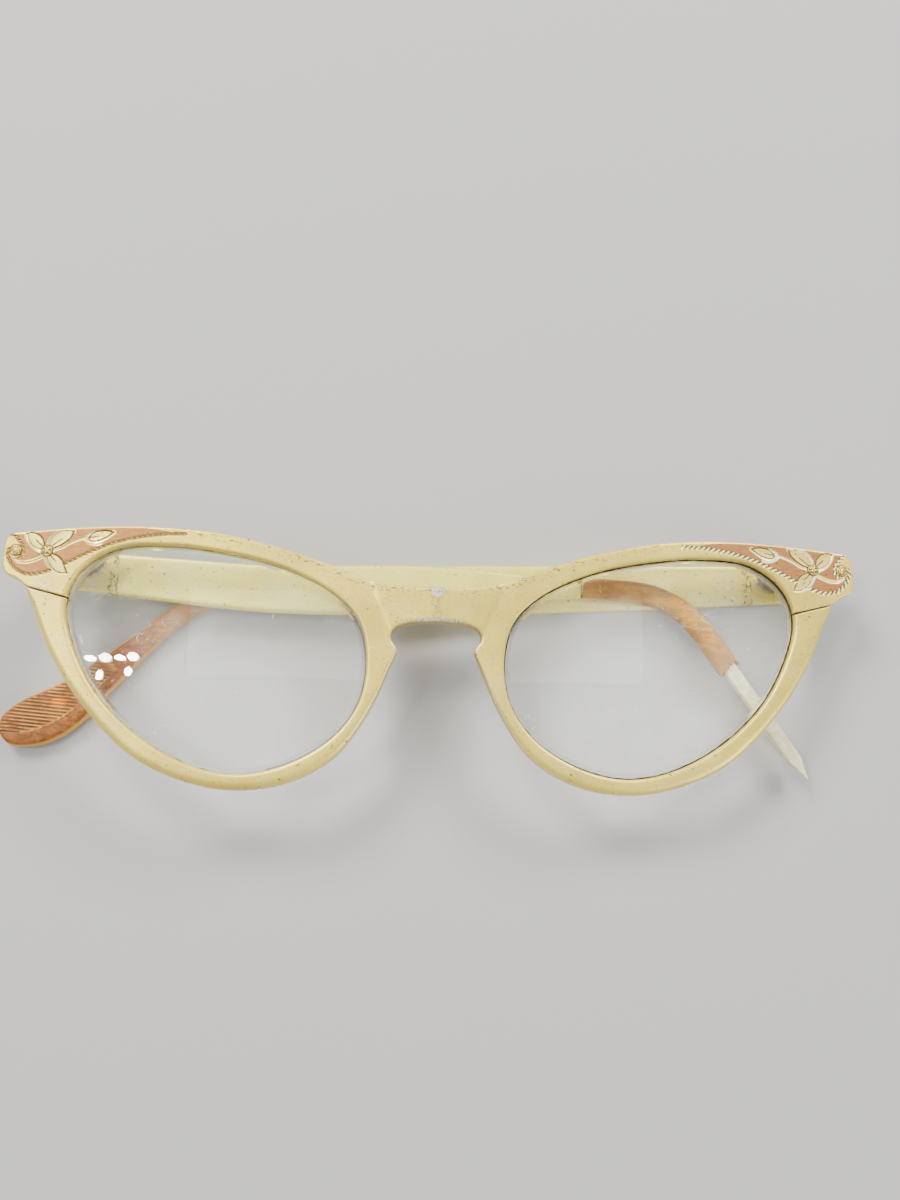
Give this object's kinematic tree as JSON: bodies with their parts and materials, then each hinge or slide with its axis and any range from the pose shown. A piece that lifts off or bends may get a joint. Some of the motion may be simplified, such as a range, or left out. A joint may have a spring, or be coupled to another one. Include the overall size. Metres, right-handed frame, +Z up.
{
  "type": "cat-eye eyeglasses frame",
  "caption": "Folded aluminium cat-eye eyeglasses frame with clear lenses, engraved end pieces, riveted hinges and plastic-covered temple tips, one tip broken.",
  "frame": {"origin": "centre of the resting surface under the folded frame", "axes": "+X towards the wearer's left, +Y towards the brow, +Z up, out of the fronts of the lenses; the front is tipped 1.5 degrees about Y because it lies on its folded temples"},
  "size_m": [0.137, 0.0404, 0.0135],
  "materials": {
    "gold_aluminium": "satin pale gold anodised aluminium with copper-coloured engraved fields, pitted and worn to bare metal on the edges",
    "hinge_steel": "dull grey steel",
    "lens": "clear, dusty and finely scratched",
    "amber_plastic": "translucent amber plastic, faded and crazed",
    "clear_pad": "clear plastic, slightly yellowed"
  },
  "bodies": {
    "front": {"front_frame": "gold_aluminium", "lens_left": "lens", "front_hinge_left": "hinge_steel", "front_hinge_rivet_left_1": "gold_aluminium", "front_hinge_rivet_left_2": "gold_aluminium", "hinge_screw_left": "hinge_steel", "rim_screw_left": "hinge_steel", "nose_pad_left": "clear_pad", "nose_pad_pin_left_1": "hinge_steel", "nose_pad_pin_left_2": "hinge_steel", "lens_right": "lens", "front_hinge_right": "hinge_steel", "front_hinge_rivet_right_1": "gold_aluminium", "front_hinge_rivet_right_2": "gold_aluminium", "hinge_screw_right": "hinge_steel", "rim_screw_right": "hinge_steel", "nose_pad_right": "clear_pad", "nose_pad_pin_right_1": "hinge_steel", "nose_pad_pin_right_2": "hinge_steel"},
    "right_temple": {"temple_right": "gold_aluminium", "temple_hinge_right": "hinge_steel", "temple_hinge_rivet_right_1": "hinge_steel", "temple_hinge_rivet_right_2": "hinge_steel", "temple_tip_right": "amber_plastic"},
    "left_temple": {"temple_left": "gold_aluminium", "temple_hinge_left": "hinge_steel", "temple_hinge_rivet_left_1": "hinge_steel", "temple_hinge_rivet_left_2": "hinge_steel", "temple_tip_left": "amber_plastic"}
  },
  "joints": [
    {"name": "right_temple_fold", "type": "hinge", "parent": "front", "child": "right_temple", "pos_m": [-0.0598, 0.0154, 0.00679], "axis": [0, 1, 0], "range_deg": [0, 93.9]},
    {"name": "left_temple_fold", "type": "hinge", "parent": "front", "child": "left_temple", "pos_m": [0.06216, 0.0154, 0.0036], "axis": [0, -1, 0], "range_deg": [0, 91.5]}
  ]
}
